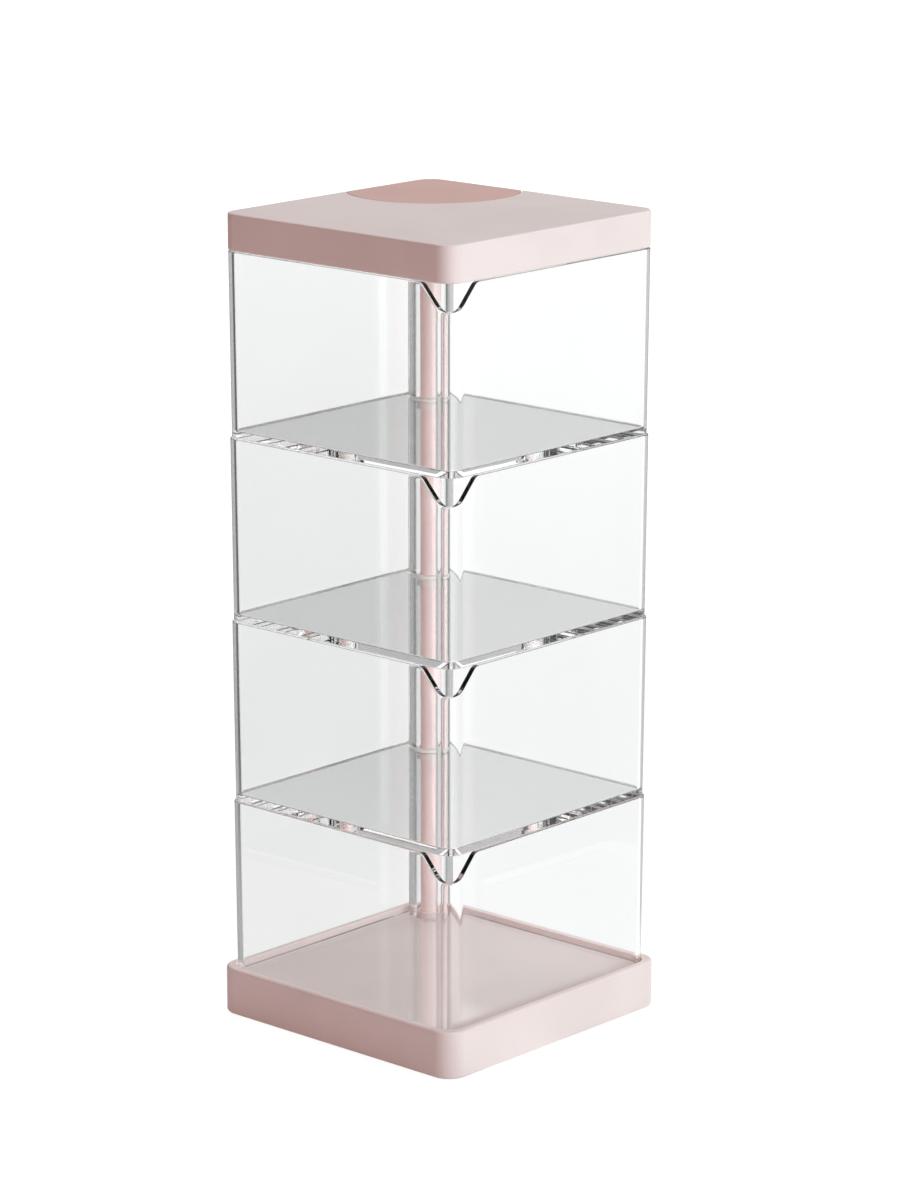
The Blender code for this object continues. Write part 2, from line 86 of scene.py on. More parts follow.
# How far the notch's points reach along each side, and the depths below the rim at which the
# levels begin to fall and from which on they fall in full
NOTCH_REACH = 0.011
NOTCH_ZONE = 0.012
RIM_ZONE = 0.001
# How far the sleeve's block stands outside the sleeve, and how far its sides run straight
SLEEVE_MARGIN = 0.00025
SLEEVE_STRAIGHT = 0.0029
# How far a surface runs into one that it joins or past one that it cuts, and how far before its
# first point a closed profile ends
OVERRUN = 0.001
# Lengths and angles below this count as none
TINY = 1e-6


# ------ settings


def length(name, description, default):
    """A length in metres that a user can change."""
    return FloatProperty(
        name=name, description=description, default=default, min=0.0,
        precision=5, subtype="DISTANCE", unit="LENGTH",
    )


def colour(name, description, default):
    """A colour that a user can change."""
    return FloatVectorProperty(
        name=name, description=description, default=default, min=0.0, max=1.0, subtype="COLOR",
    )


class TowerTraySettings(bpy.types.PropertyGroup):
    """Sizes of the clear trays."""

    wall: length("Wall", "Thickness of a tray's walls", 0.0018)
    floor: length("Floor", "Thickness of a tray's floor", 0.0020)
    draft: length("Draft", "How far each side leans out from underside to rim", 0.0004)
    corner: length("Corner", "Outer radius of a tray's corners", 0.0060)
    foot_round: length("Foot round", "Radius of the lower outer edge", 0.0004)
    inner_round: length("Inner round", "Radius between walls and floor", 0.0006)
    rim_round: length("Rim round", "Radius of the rim's edges", 0.00022)
    notch_depth: length("Notch depth", "Depth of the finger notch", 0.0087)
    notch_bottom: length("Notch bottom", "Radius of the notch's bottom", 0.0054)
    notch_lip: length("Notch lip", "Radius where the notch meets the rim", 0.0017)
    notch_angle: FloatProperty(
        name="Notch angle", description="Slope of the notch's flanks", default=math.radians(57.0),
        subtype="ANGLE", unit="ROTATION",
    )
    sleeve_radius: length("Sleeve radius", "Outer radius of the sleeve round the post", 0.00735)
    sleeve_bore: length("Sleeve bore", "Radius of the sleeve's bore", 0.00485)
    sleeve_drop: length("Sleeve drop", "How far the sleeve's top lies below the rim", 0.0012)


class TowerShellSettings(bpy.types.PropertyGroup):
    """Sizes of the base, the post and the lid."""

    base_wall: length("Base wall", "Thickness of the base's rim", 0.0026)
    base_corner: length("Base corner", "Outer radius of the base's corners", 0.0072)
    base_recess: length("Base recess", "Depth of the recess for the bottom tray", 0.0040)
    base_recess_corner: length("Recess corner", "Radius of the recess's corners", 0.0064)
    base_floor: length("Base floor", "Thickness of the recess's floor", 0.0024)
    base_edge: length("Base edge", "Radius of the base's outer edges", 0.0009)
    small_edge: length("Small edge", "Radius of the small inner edges", 0.0003)
    post_hole: length("Post hole", "Radius of the holes round the post", 0.00355)
    post_bore: length("Post bore", "Inner radius of the post", 0.0018)
    bushing_radius: length("Bushing radius", "Outer radius of a bushing's collar", 0.00445)
    bushing_spigot: length("Bushing spigot", "Length of a bushing below its flange", 0.0030)
    bushing_nose: length("Bushing nose", "Length of a bushing above its flange", 0.0014)
    collar_height: length("Collar height", "Height of the collar on the base's floor", 0.0040)
    lid_wall: length("Lid wall", "Thickness of the lid's walls and top", 0.0022)
    lid_corner: length("Lid corner", "Outer radius of the lid's corners", 0.0062)
    lid_edge: length("Lid edge", "Radius of the lid's outer edges", 0.0006)
    hub_radius: length("Hub radius", "Outer radius of the lid's hub", 0.0083)
    hub_seat: length("Hub seat", "Height of the hub's inner seat over its foot", 0.0045)
    well_radius: length("Well radius", "Radius of the well round the nut", 0.0067)
    cap_depth: length("Cap depth", "Depth of the corner cap's recess in the lid", 0.0018)
    cap_thickness: length("Cap thickness", "Thickness of the corner cap", 0.0015)
    cap_inset: length("Cap arc inset", "Distance of the arc's centre from the rear sides", 0.0190)
    cap_radius: length("Cap arc radius", "Radius of the corner cap's front edge", 0.0290)
    cap_gap: length("Cap gap", "Gap round the corner cap, and in the hub's foot", 0.0004)


class TowerLookSettings(bpy.types.PropertyGroup):
    """Colours of the finishes."""

    pink: colour("Pink", "Pale pink of the base and the lid", (0.82, 0.655, 0.635))
    dusty_pink: colour("Dusty pink", "Darker pink of the corner cap", (0.69, 0.40, 0.36))
    # The post's own pale pink, lightened as painted light so that it looks as lit as the base
    # behind the clear trays
    post_pink: colour("Post pink", "Pink of the post", (0.96, 0.75, 0.73))
    clear: colour("Clear", "Tint of the clear plastic", (0.997, 1.0, 0.999))
    nylon: colour("Nylon", "Natural nylon of the bushings", (0.88, 0.88, 0.86))
    rubber: colour("Rubber", "Grey of the feet", (0.55, 0.55, 0.55))
    steel: colour("Steel", "Zinc of the bolt, washer and nut", (0.60, 0.60, 0.60))


# ------ shapes


def rounded_profile(corners, radii, steps=EDGE_STEPS):
    """Open line through corners, each rounded by an arc of its radius, as an (n, 2) array.

    At a corner the line turns by an angle t. The arc starts radius * tan(t / 2) before the corner,
    and its points are its centre plus the radius turned by equal shares of t.
    """
    corners = np.asarray(corners, float)
    line = [corners[:1]]
    for before, at, after, radius in zip(corners, corners[1:], corners[2:], radii):
        come = (at - before) / np.linalg.norm(at - before)
        leave = (after - at) / np.linalg.norm(after - at)
        side = come[0] * leave[1] - come[1] * leave[0]
        turn = math.atan2(side, come @ leave)
        if radius <= 0 or abs(turn) < TINY:
            line.append(at[None])
            continue
        left = np.array([-come[1], come[0]]) * math.copysign(1, turn)
        centre = at - come * radius * math.tan(abs(turn) / 2) + left * radius
        angles = np.linspace(0, turn, steps + 1)
        arm = -left * radius
        line.append(
            centre
            + np.stack(
                [
                    arm[0] * np.cos(angles) - arm[1] * np.sin(angles),
                    arm[0] * np.sin(angles) + arm[1] * np.cos(angles),
                ],
                axis=1,
            )
        )
    line.append(corners[-1:])
    return np.concatenate(line)


def square_rings(halves, radii, arc_steps=CORNER_STEPS, side_reach=0.0, side_steps=0):
    """Rings round a square with round corners, one for each half side and radius, as (m, n, 2).

    A ring runs anticlockwise from +X. Each point is sign * (half - radius) + radius * direction,
    where the direction turns by a quarter at each corner. Beside the front corner the straight
    sides carry further points, which slide away from the arc's ends in equal steps.
    """
    quarter = np.linspace(0, math.pi / 2, arc_steps + 1)
    slide = np.linspace(0, side_reach, side_steps + 1)[1:]
    signs, ways, slides = [], [], []
    for number, sign in enumerate(((1, 1), (-1, 1), (-1, -1), (1, -1))):
        angles = quarter + number * math.pi / 2
        if number == 3:
            signs.append(np.tile(sign, (side_steps, 1)))
            ways.append(np.tile((0.0, -1.0), (side_steps, 1)))
            slides.append(np.stack([-slide[::-1], 0 * slide], axis=1))
        signs.append(np.tile(sign, (arc_steps + 1, 1)))
        ways.append(np.stack([np.cos(angles), np.sin(angles)], axis=1))
        slides.append(np.zeros((arc_steps + 1, 2)))
        if number == 3:
            signs.append(np.tile(sign, (side_steps, 1)))
            ways.append(np.tile((1.0, 0.0), (side_steps, 1)))
            slides.append(np.stack([0 * slide, slide], axis=1))
    signs, ways, slides = (np.concatenate(part) for part in (signs, ways, slides))
    halves = np.asarray(halves, float)[:, None, None]
    radii = np.asarray(radii, float)[:, None, None]
    return signs * (halves - radii) + radii * ways + slides


def at_levels(rings, levels):
    """Rings of (x, y) points lifted to a level for each ring or point, as (m, n, 3)."""
    rings = np.asarray(rings, float)
    levels = np.asarray(levels, float)
    if levels.ndim == 1:
        levels = levels[:, None]
    return np.concatenate([rings, np.broadcast_to(levels, rings.shape[:2])[..., None]], axis=2)


def inset_ring(ring, distances):
    """Closed ring moved inwards, by its own distance at each edge.

    With unit normals p and q of the edges before and after a point, distances d and e there and
    c = p . q, the point moves by

        -(d + e) / 2 / (1 + c) * (p + q) - (d - e) / 2 / (1 - c) * (p - q),

    which takes it d in from the one edge and e in from the other.
    """
    edge = np.roll(ring, -1, axis=0) - ring
    reach = np.linalg.norm(edge, axis=1, keepdims=True)
    after = np.stack([edge[:, 1], -edge[:, 0]], axis=1) / np.maximum(reach, 1e-12)
    before = np.roll(after, 1, axis=0)
    ahead = np.asarray(distances, float)
    behind = np.roll(ahead, 1)
    cosine = np.sum(before * after, axis=1)
    shared = ((behind + ahead) / 2 / (1 + cosine))[:, None]
    apart = ((behind - ahead) / 2 / np.maximum(1 - cosine, 1e-3))[:, None]
    return ring - shared * (before + after) - apart * (before - after)


def turned_rings(profile, steps=ROUND_STEPS, centre=(0.0, 0.0)):
    """Rings of (radius, level) profile points carried round an upright axis, as (m, n, 3)."""
    profile = np.asarray(profile, float)
    angles = np.linspace(0, 2 * math.pi, steps, endpoint=False)
    circle = np.stack([np.cos(angles), np.sin(angles)], axis=1)
    rings = profile[:, 0][:, None, None] * circle + np.asarray(centre)
    return at_levels(rings, profile[:, 1])


def skin(rings, closed=False):
    """Points and faces of a closed surface over rings.

    Quads join each ring to the next. A flat face closes each end, or quads from the last ring to
    the first where the profile is closed.
    """
    rows, columns = rings.shape[:2]
    row, column = np.meshgrid(np.arange(rows - 1 + closed), np.arange(columns), indexing="ij")
    beside = (column + 1) % columns
    above = (row + 1) % rows
    quads = np.stack(
        [
            row * columns + column,
            row * columns + beside,
            above * columns + beside,
            above * columns + column,
        ],
        axis=-1,
    )
    faces = quads.reshape(-1, 4).tolist()
    if not closed:
        faces.append(list(range(columns))[::-1])
        faces.append(list(range((rows - 1) * columns, rows * columns)))
    return rings.reshape(-1, 3), faces


def mesh_of(name, *skins):
    """Mesh of one or more closed surfaces."""
    points = np.concatenate([part[0] for part in skins])
    faces, first = [], 0
    for part_points, part_faces in skins:
        faces += [[first + number for number in face] for face in part_faces]
        first += len(part_points)
    mesh = bpy.data.meshes.new(name)
    mesh.from_pydata(points, [], faces)
    mesh.validate()
    return mesh


def cut_and_joined(name, mesh, joined=(), cut=()):
    """Mesh joined with some closed surfaces and then cut by others, solved exactly."""
    link = bpy.context.scene.collection.objects.link
    body = bpy.data.objects.new(name, mesh)
    link(body)
    tools = []
    for operation, surfaces in (("UNION", joined), ("DIFFERENCE", cut)):
        for number, surface in enumerate(surfaces):
            tool = bpy.data.objects.new("tool", mesh_of(f"{operation}_{number}", surface))
            link(tool)
            tools.append(tool)
            step = body.modifiers.new(tool.name, "BOOLEAN")
            step.operation = operation
            step.object = tool
            step.solver = "EXACT"
    graph = bpy.context.evaluated_depsgraph_get()
    made = bpy.data.meshes.new_from_object(body.evaluated_get(graph))
    made.name = name
    for item in (*tools, body):
        bpy.data.objects.remove(item)
    return made


def add_piece(name, mesh, body, slot, material, *nodes):
    """Object of a finished mesh, which stands for its solids and rides on a body."""
    mesh.materials.clear()
    mesh.materials.append(material)
    mesh.shade_smooth()
    mesh.set_sharp_from_angle(angle=SMOOTH_ANGLE)
    piece = bpy.data.objects.new(name, mesh)
    bpy.context.scene.collection.objects.link(piece)
    shade = piece.modifiers.new("Even shading", "WEIGHTED_NORMAL")
    shade.keep_sharp = True
    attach(piece, body)
    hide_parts(*nodes)
    return piece


def notch_fall(across, sizes):
    """Depth of the finger notch below the rim at a distance across the corner.

    From the middle outwards it is the bottom circle, a straight flank and the lip's circle, each
    running into the next, and zero beyond the lip.
    """
    across = np.abs(across)
    angle, bottom, lip = sizes.notch_angle, sizes.notch_bottom, sizes.notch_lip
    rise = sizes.notch_depth - bottom
    flank_start = bottom * math.sin(angle)
    flank_fall = rise + bottom * math.cos(angle)
    lip_fall = lip * (1 - math.cos(angle))
    flank_end = flank_start + (flank_fall - lip_fall) / math.tan(angle)
    lip_end = flank_end + lip * math.sin(angle)
    round_bottom = rise + np.sqrt(np.maximum(bottom**2 - across**2, 0))
    flank = flank_fall - (across - flank_start) * math.tan(angle)
    round_lip = lip - np.sqrt(np.maximum(lip**2 - (lip_end - across) ** 2, 0))
    return np.select(
        [across < flank_start, across < flank_end, across < lip_end],
        [round_bottom, flank, round_lip],
        0.0,
    )


def tray_shell(foot, rim, half, sizes):
    """Closed surface of a tray without its sleeve.

    A profile of (inset, level) pairs runs from under the floor, up the outside, over the rim and
    down the inside to the floor. Round the square each point lies inset from the outer side, which
    leans out with the level. In a zone under the rim the levels fall by the notch's depth there,
    which is the same at both sides of the wall.
    """
    height = rim - foot
    inner = sizes.wall
    reach = sizes.inner_round + sizes.foot_round
    profile = rounded_profile(
        [
            (reach, 0), (0, 0), (0, height), (inner, height), (inner, sizes.floor),
            (inner + reach, sizes.floor),
        ],
        (sizes.foot_round, sizes.rim_round, sizes.rim_round, sizes.inner_round),
    )
    zone, whole = height - NOTCH_ZONE, height - RIM_ZONE
    bands = np.linspace(zone, whole, NOTCH_LEVELS)
    climb = np.flatnonzero(profile[:, 1] > height / 2)
    outside = np.stack([0 * bands, bands], axis=1)
    inside = np.stack([np.full(NOTCH_LEVELS, inner), bands[::-1]], axis=1)
    profile = np.concatenate(
        [profile[: climb[0]], outside, profile[climb], inside, profile[climb[-1] + 1 :]]
    )
    inset, level = profile.T
    halves = half - sizes.draft * (1 - level / height) - inset
    rings = square_rings(
        halves, sizes.corner - inset, side_reach=NOTCH_REACH, side_steps=NOTCH_SIDE_STEPS
    )
    outer = rings[np.argmax(halves)]
    front = (outer[:, 0] > 0) & (outer[:, 1] < 0)
    fall = np.where(front, notch_fall(outer.sum(axis=1) / math.sqrt(2), sizes), 0.0)
    share = np.clip((level - zone) / (whole - zone), 0, 1)[:, None]
    return skin(at_levels(rings, foot + level[:, None] - fall * share))


def sleeve_block(foot, head, sizes):
    """Closed upright prism of the sleeve and of what joins it to the rear corner.

    Its outline is the sleeve's circle on three sides, and a square with one round corner on the
    fourth, which ends inside the tray's walls.
    """
    radius = sizes.sleeve_radius
    reach = radius + SLEEVE_MARGIN
    corner = reach - SLEEVE_STRAIGHT
    round_trip = np.linspace(math.pi, 2.5 * math.pi, ROUND_STEPS + 1)
    circle = radius * np.stack([np.cos(round_trip), np.sin(round_trip)], axis=1)
    turn = np.linspace(math.pi / 2, math.pi, CORNER_STEPS + 1)
    bend = corner * np.stack([np.cos(turn), np.sin(turn)], axis=1)
    bend += (corner - reach, reach - corner)
    outline = np.concatenate([[(0, reach)], bend, [(-reach, 0)], circle]) + PIVOT
    return skin(at_levels(np.stack([outline, outline]), (foot, head)))


def rear_zone(half, corner, inset, radius):
    """Outline of the lid, with points where an arc meets its rear sides.

    The outline is a square with round corners. The arc's centre lies inset from both rear sides,
    so it meets each of them half - inset - sqrt(radius^2 - inset^2) from the side's middle.
    Returns the ring, and the numbers of its points from the one meeting point to the other, round
    the rear corner.
    """
    meet = half - inset - math.sqrt(radius**2 - inset**2)
    ring = square_rings([half], [corner])[0]
    first, last = CORNER_STEPS + 1, 2 * CORNER_STEPS + 2
    ring = np.concatenate(
        [ring[:first], [(-meet, half)], ring[first:last], [(-half, meet)], ring[last:]]
    )
    return ring, np.arange(first, last + 2)


def cap_arc(half, inset, radius, count):
    """Points at equal steps along the corner cap's front edge, from one rear side to the other.

    Each point is the centre, inset from both rear sides, plus radius * (cos t, sin t). The angle t
    runs from s = asin(inset / radius) down to -pi / 2 - s.
    """
    start = math.asin(inset / radius)
    angles = np.linspace(start, -math.pi / 2 - start, count)
    across, along = inset - half, half - inset
    return np.stack([across + radius * np.cos(angles), along + radius * np.sin(angles)], axis=1)


def over_edge(ring, side_rounds, point_rounds, top):
    """Rings and levels that carry an outline over a round edge to a flat top.

    At an angle t, from nought to a quarter turn, each side has moved in by its radius times
    1 - cos t, and each point lies its radius times 1 - sin t below the top.
    """
    angles = np.linspace(0, math.pi / 2, EDGE_STEPS + 1)
    rings = [inset_ring(ring, side_rounds * (1 - math.cos(angle))) for angle in angles]
    levels = [top - point_rounds * (1 - math.sin(angle)) for angle in angles]
    return rings, levels


def lid_shell(low, high, sizes):
    """Closed surface of the lid without its hub.

    A profile of (inset, level) pairs runs from under the top, down inside the walls and up the
    outline to the cap's seat. There the outline's rear part steps in to the arc, and the outline
    goes on over a round edge to the flat top.
    """
    wall, edge, fine = sizes.lid_wall, sizes.lid_edge, sizes.small_edge / 2
    radius = sizes.cap_radius + sizes.cap_gap
    seat = high.z - sizes.cap_depth
    outline, zone = rear_zone(high.x, sizes.lid_corner, sizes.cap_inset, radius)
    columns = len(outline)
    lower = rounded_profile(
        [(wall, high.z - wall), (wall, low.z), (0, low.z), (0, seat)], (fine, edge)
    )
    rings = [inset_ring(outline, np.full(columns, step)) for step, _ in lower]
    levels = [np.full(columns, level) for _, level in lower]
    upper = outline.copy()
    upper[zone] = cap_arc(high.x, sizes.cap_inset, radius, len(zone))
    numbers = np.arange(columns)
    over, over_levels = over_edge(
        upper,
        np.where(np.isin(numbers, zone[:-1]), fine, edge),
        np.where(np.isin(numbers, zone), fine, edge),
        high.z,
    )
    rings += [upper, *over]
    levels += [np.full(columns, seat), *over_levels]
    return skin(at_levels(np.stack(rings), np.stack(levels)))


def corner_cap(half, top, sizes):
    """Closed surface of the corner cap.

    Its outline is the lid's round the rear corner, with the lid's round edge, and the arc back,
    with a finer one.
    """
    edge, fine = sizes.lid_edge, sizes.small_edge / 2
    inset, radius = sizes.cap_inset, sizes.cap_radius
    outline, zone = rear_zone(half, sizes.lid_corner, inset, radius)
    arc = cap_arc(half, inset, radius, CAP_ARC_STEPS + 1)[::-1]
    ring = np.concatenate([outline[zone], arc[1:-1]])
    numbers = np.arange(len(ring))
    point_rounds = np.where(numbers < len(zone), edge, fine)
    point_rounds[[0, len(zone) - 1]] = fine
    over, over_levels = over_edge(
        ring, np.where(numbers < len(zone) - 1, edge, fine), point_rounds, top
    )
    foot = np.full(len(ring), top - sizes.cap_thickness)
    return skin(at_levels(np.stack([ring, *over]), np.stack([foot, *over_levels])))


# ------ finishes


FINISH_NAMES = {
    "pale_pink_plastic": "Pale Pink Satin Plastic",
    "dusty_pink_plastic": "Dusty Pink Satin Plastic",
    "pink_post": "Glossy Post Pink",
    "clear_plastic": "Clear Polished Plastic",
    "nylon": "Natural Nylon",
    "rubber": "Grey Stippled Rubber",
    "steel": "Zinc Plated Steel",
}
# Opaque finishes by slot: look setting, roughness, scale of the grain and its height in metres,
# drift of the tone, coat, and share of metal
OPAQUE_FINISHES = {
    "pale_pink_plastic": ("pink", 0.42, 3500.0, 0.00002, 0.03, 0.0, 0.0),
    "dusty_pink_plastic": ("dusty_pink", 0.42, 3500.0, 0.00002, 0.03, 0.0, 0.0),
    # The post's finish takes its pink lightened with painted light
    "pink_post": ("post_pink", 0.28, 2500.0, 0.00001, 0.03, 0.3, 0.0),
    "nylon": ("nylon", 0.45, 3000.0, 0.00002, 0.03, 0.0, 0.0),
    "rubber": ("rubber", 0.8, 2500.0, 0.00004, 0.06, 0.0, 0.0),
    "steel": ("steel", 0.32, 2500.0, 0.00001, 0.03, 0.0, 1.0),
}
# Scales of the flow and the hairlines, and the hairlines' width, in opaque finishes, and the same
# after the grain's scale in the clear plastic
OPAQUE_SCALES = (22.0, 55.0, 0.003)
CLEAR_SCALES = (900.0, 14.0, 48.0, 0.0025)
# Ranges of the noises that are spread out: of the flow, the grain and where hairlines are
FLOW_RANGE = (0.3, 0.7)
GRAIN_RANGE = (0.2, 0.8)
HAIRLINE_RANGE = (0.55, 0.68)
# How far grain moves an opaque finish's roughness, and what a hairline takes from that roughness
# and adds to the clear plastic's
GRAIN_ROUGHNESS = 0.05
HAIRLINE_SHINE = 0.06
HAIRLINE_HAZE = 0.05
# Share of its tint that the clear plastic keeps at the flow's faint end
FAINT_TINT = 0.99


class Graph:
    """Short way to add nodes to a tree and join them."""

    def __init__(self, tree):
        self.tree = tree

    def add(self, kind, inputs=(), **settings):
        """Add a node with settings, and set or link its inputs by name or number."""
        node = self.tree.nodes.new(kind)
        for name, value in settings.items():
            setattr(node, name, value)
        for key, value in dict(inputs).items():
            if isinstance(value, bpy.types.NodeSocket):
                self.link(value, node.inputs[key])
            else:
                node.inputs[key].default_value = value
        return node

    def link(self, value, socket):
        """Feed a socket from a node's output."""
        self.tree.links.new(value, socket)

    def math(self, operation, *values):
        """Result of a Math node."""
        return self.add("ShaderNodeMath", enumerate(values), operation=operation).outputs[0]

    def ramp(self, value, low, high, to_low=0.0, to_high=1.0):
        """Value mapped from one range to another, smooth at both ends."""
        node = self.add(
            "ShaderNodeMapRange",
            {"Value": value, 1: low, 2: high, 3: to_low, 4: to_high},
            interpolation_type="SMOOTHSTEP",
        )
        return node.outputs["Result"]

    def blend(self, factor, first, second):
        """Number mixed between two, which are a Mix node's inputs 2 and 3."""
        return self.add("ShaderNodeMix", {0: factor, 2: first, 3: second}).outputs[0]

    def mix(self, factor, first, second):
        """Colour mixed between two, which are a Mix node's inputs 6 and 7."""
        inputs = {0: factor, 6: first, 7: second}
        return self.add("ShaderNodeMix", inputs, data_type="RGBA").outputs[2]


def effect_group(name, inputs, outputs):
    """Empty shader node group with named number sockets, with its input and output nodes."""
    tree = bpy.data.node_groups.new(name, "ShaderNodeTree")
    for label, default in inputs:
        socket = tree.interface.new_socket(label, in_out="INPUT", socket_type="NodeSocketFloat")
        socket.default_value = default
    for label in outputs:
        tree.interface.new_socket(label, in_out="OUTPUT", socket_type="NodeSocketFloat")
    graph = Graph(tree)
    return graph, graph.add("NodeGroupInput"), graph.add("NodeGroupOutput")


def moulded_surface_group():
    """Fine grain of a moulding tool, and the slow drift of tone of the plastic's flow."""
    graph, given, out = effect_group(
        "Moulded Surface", [("Grain Scale", 4000.0), ("Flow Scale", 18.0)], ["Grain", "Flow"]
    )
    place = graph.add("ShaderNodeTexCoord").outputs["Object"]
    grain = graph.add(
        "ShaderNodeTexNoise",
        {"Vector": place, "Scale": given.outputs["Grain Scale"], "Detail": 3.0, "Roughness": 0.6},
    )
    flow = graph.add(
        "ShaderNodeTexNoise",
        {"Vector": place, "Scale": given.outputs["Flow Scale"], "Detail": 2.0, "Distortion": 0.6},
    )
    graph.link(grain.outputs["Fac"], out.inputs["Grain"])
    graph.link(flow.outputs["Fac"], out.inputs["Flow"])
    return graph.tree


def fine_scratches_group():
    """Sparse hairlines, as handling leaves them on glossy plastic."""
    graph, given, out = effect_group(
        "Fine Scratches", [("Scale", 70.0), ("Width", 0.004)], ["Scratches"]
    )
    place = graph.add("ShaderNodeTexCoord").outputs["Object"]
    stretch = graph.add(
        "ShaderNodeMapping",
        {"Vector": place, "Scale": (1.0, 1.0, 0.35), "Rotation": (0.4, 0.7, 0.3)},
    )
    cells = graph.add(
        "ShaderNodeTexVoronoi",
        {"Vector": stretch.outputs[0], "Scale": given.outputs["Scale"]},
        feature="DISTANCE_TO_EDGE",
    )
    line = graph.add(
        "ShaderNodeMapRange",
        {"Value": cells.outputs["Distance"], 1: 0.0, 2: given.outputs["Width"], 3: 1.0, 4: 0.0},
    )
    patches = graph.add("ShaderNodeTexNoise", {"Vector": place, "Scale": 45.0, "Detail": 2.0})
    there = graph.ramp(patches.outputs["Fac"], *HAIRLINE_RANGE)
    graph.link(graph.math("MULTIPLY", line.outputs["Result"], there), out.inputs["Scratches"])
    return graph.tree


def group_node(graph, tree, **values):
    """Node of an effect group, with its values."""
    node = graph.add("ShaderNodeGroup", node_tree=tree)
    for label, value in values.items():
        node.inputs[label.replace("_", " ")].default_value = value
    return node


def begun_finish(name, groups, grain_scale, flow_scale, hairline_scale, hairline_width):
    """Graph, shader, effect nodes and place in the flow, 0 to 1, of a new material."""
    material = bpy.data.materials.new(name)
    material.use_nodes = True
    graph = Graph(material.node_tree)
    shader = material.node_tree.nodes["Principled BSDF"]
    surface = group_node(graph, groups["surface"], Grain_Scale=grain_scale, Flow_Scale=flow_scale)
    wear = group_node(graph, groups["scratches"], Scale=hairline_scale, Width=hairline_width)
    tone = graph.ramp(surface.outputs["Flow"], *FLOW_RANGE)
    return graph, shader, surface, wear, tone


def opaque_finish(name, base, groups, roughness, grain_scale, height, drift, coat, metal):
    """Opaque material: drifting tone, grain in roughness and bump, and faint hairlines."""
    scales = (grain_scale, *OPAQUE_SCALES)
    graph, shader, surface, wear, tone = begun_finish(name, groups, *scales)
    deep = (*(part * (1 - drift) for part in base), 1)
    light = (*(min(1, part * (1 + drift)) for part in base), 1)
    smooth, rough = roughness - GRAIN_ROUGHNESS, roughness + GRAIN_ROUGHNESS
    grained = graph.ramp(surface.outputs["Grain"], *GRAIN_RANGE, smooth, rough)
    worn = graph.math("MULTIPLY_ADD", wear.outputs["Scratches"], -HAIRLINE_SHINE, grained)
    bump = graph.add(
        "ShaderNodeBump",
        {"Height": surface.outputs["Grain"], "Strength": 0.25, "Distance": height},
    )
    graph.link(graph.mix(tone, deep, light), shader.inputs["Base Color"])
    graph.link(worn, shader.inputs["Roughness"])
    graph.link(bump.outputs["Normal"], shader.inputs["Normal"])
    shader.inputs["Metallic"].default_value = metal
    shader.inputs["Coat Weight"].default_value = coat
    shader.inputs["Coat Roughness"].default_value = 0.12


def clear_finish(name, tint, groups):
    """Clear polished plastic, which lets the lamps' light through to what stands behind it."""
    graph, shader, surface, wear, tone = begun_finish(name, groups, *CLEAR_SCALES)
    faint = (*(part * FAINT_TINT for part in tint), 1)
    haze = graph.math("MULTIPLY", wear.outputs["Scratches"], HAIRLINE_HAZE)
    bump = graph.add(
        "ShaderNodeBump",
        {"Height": surface.outputs["Flow"], "Strength": 0.12, "Distance": 0.0002},
    )
    graph.link(graph.mix(tone, faint, (*tint, 1)), shader.inputs["Base Color"])
    graph.link(haze, shader.inputs["Roughness"])
    graph.link(bump.outputs["Normal"], shader.inputs["Normal"])
    shader.inputs["Transmission Weight"].default_value = 1.0
    shader.inputs["IOR"].default_value = 1.5
    through = graph.add("ShaderNodeBsdfTransparent", {"Color": (1, 1, 1, 1)})
    path = graph.add("ShaderNodeLightPath")
    both = graph.add(
        "ShaderNodeMixShader",
        {0: path.outputs["Is Shadow Ray"], 1: shader.outputs[0], 2: through.outputs[0]},
    )
    graph.link(both.outputs[0], graph.tree.nodes["Material Output"].inputs["Surface"])


def finishes():
    """Materials by their slot's name, built once from the look settings."""
    look = bpy.context.scene.tower_look
    names = FINISH_NAMES
    if names["clear_plastic"] not in bpy.data.materials:
        groups = {"surface": moulded_surface_group(), "scratches": fine_scratches_group()}
        for slot, (setting, *values) in OPAQUE_FINISHES.items():
            opaque_finish(names[slot], getattr(look, setting), groups, *values)
        clear_finish(names["clear_plastic"], look.clear, groups)
    return {slot: bpy.data.materials[name] for slot, name in names.items()}


def dress_node(node, material):
    """Give a solid that stays in view its finish."""
    item = frame["nodes"][node]
    if not item.material_slots:
        raise RuntimeError(f"{node} has no material slot to dress")
    for slot in item.material_slots:
        slot.material = material


# ------ pieces


